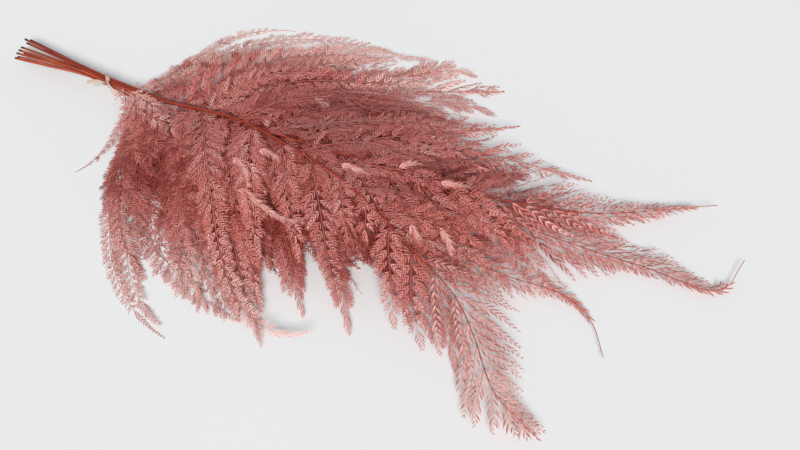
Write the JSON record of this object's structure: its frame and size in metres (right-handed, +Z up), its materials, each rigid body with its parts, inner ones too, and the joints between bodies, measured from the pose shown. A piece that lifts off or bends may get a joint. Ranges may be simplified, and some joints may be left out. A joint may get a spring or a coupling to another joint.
{
  "type": "dried fern frond bunch",
  "caption": "Tied bunch of dyed dried fern fronds lying on its side, long bare stalks at one end held by a twist tie, feathery fronds fanning out at the other.",
  "frame": {"origin": "middle of the bunch's bounding box in plan, on the surface it lies on", "axes": "+X from the cut ends of the stalks to the tips of the fronds, +Z up from the surface, +Y across the bunch"},
  "size_m": [0.7236, 0.4056, 0.0612],
  "materials": {
    "stem": "satin",
    "leaflet": "matte",
    "tie_paper": "matte"
  },
  "bodies": {
    "root": {"stem_01": "stem", "frond_01": "leaflet", "stem_02": "stem", "frond_02": "leaflet", "stem_03": "stem", "frond_03": "leaflet", "stem_04": "stem", "frond_04": "leaflet", "stem_05": "stem", "frond_05": "leaflet", "stem_06": "stem", "frond_06": "leaflet", "stem_07": "stem", "frond_07": "leaflet", "stem_08": "stem", "frond_08": "leaflet", "stem_09": "stem", "frond_09": "leaflet", "stem_10": "stem", "frond_10": "leaflet", "twist_tie": "tie_paper"}
  },
  "joints": []
}
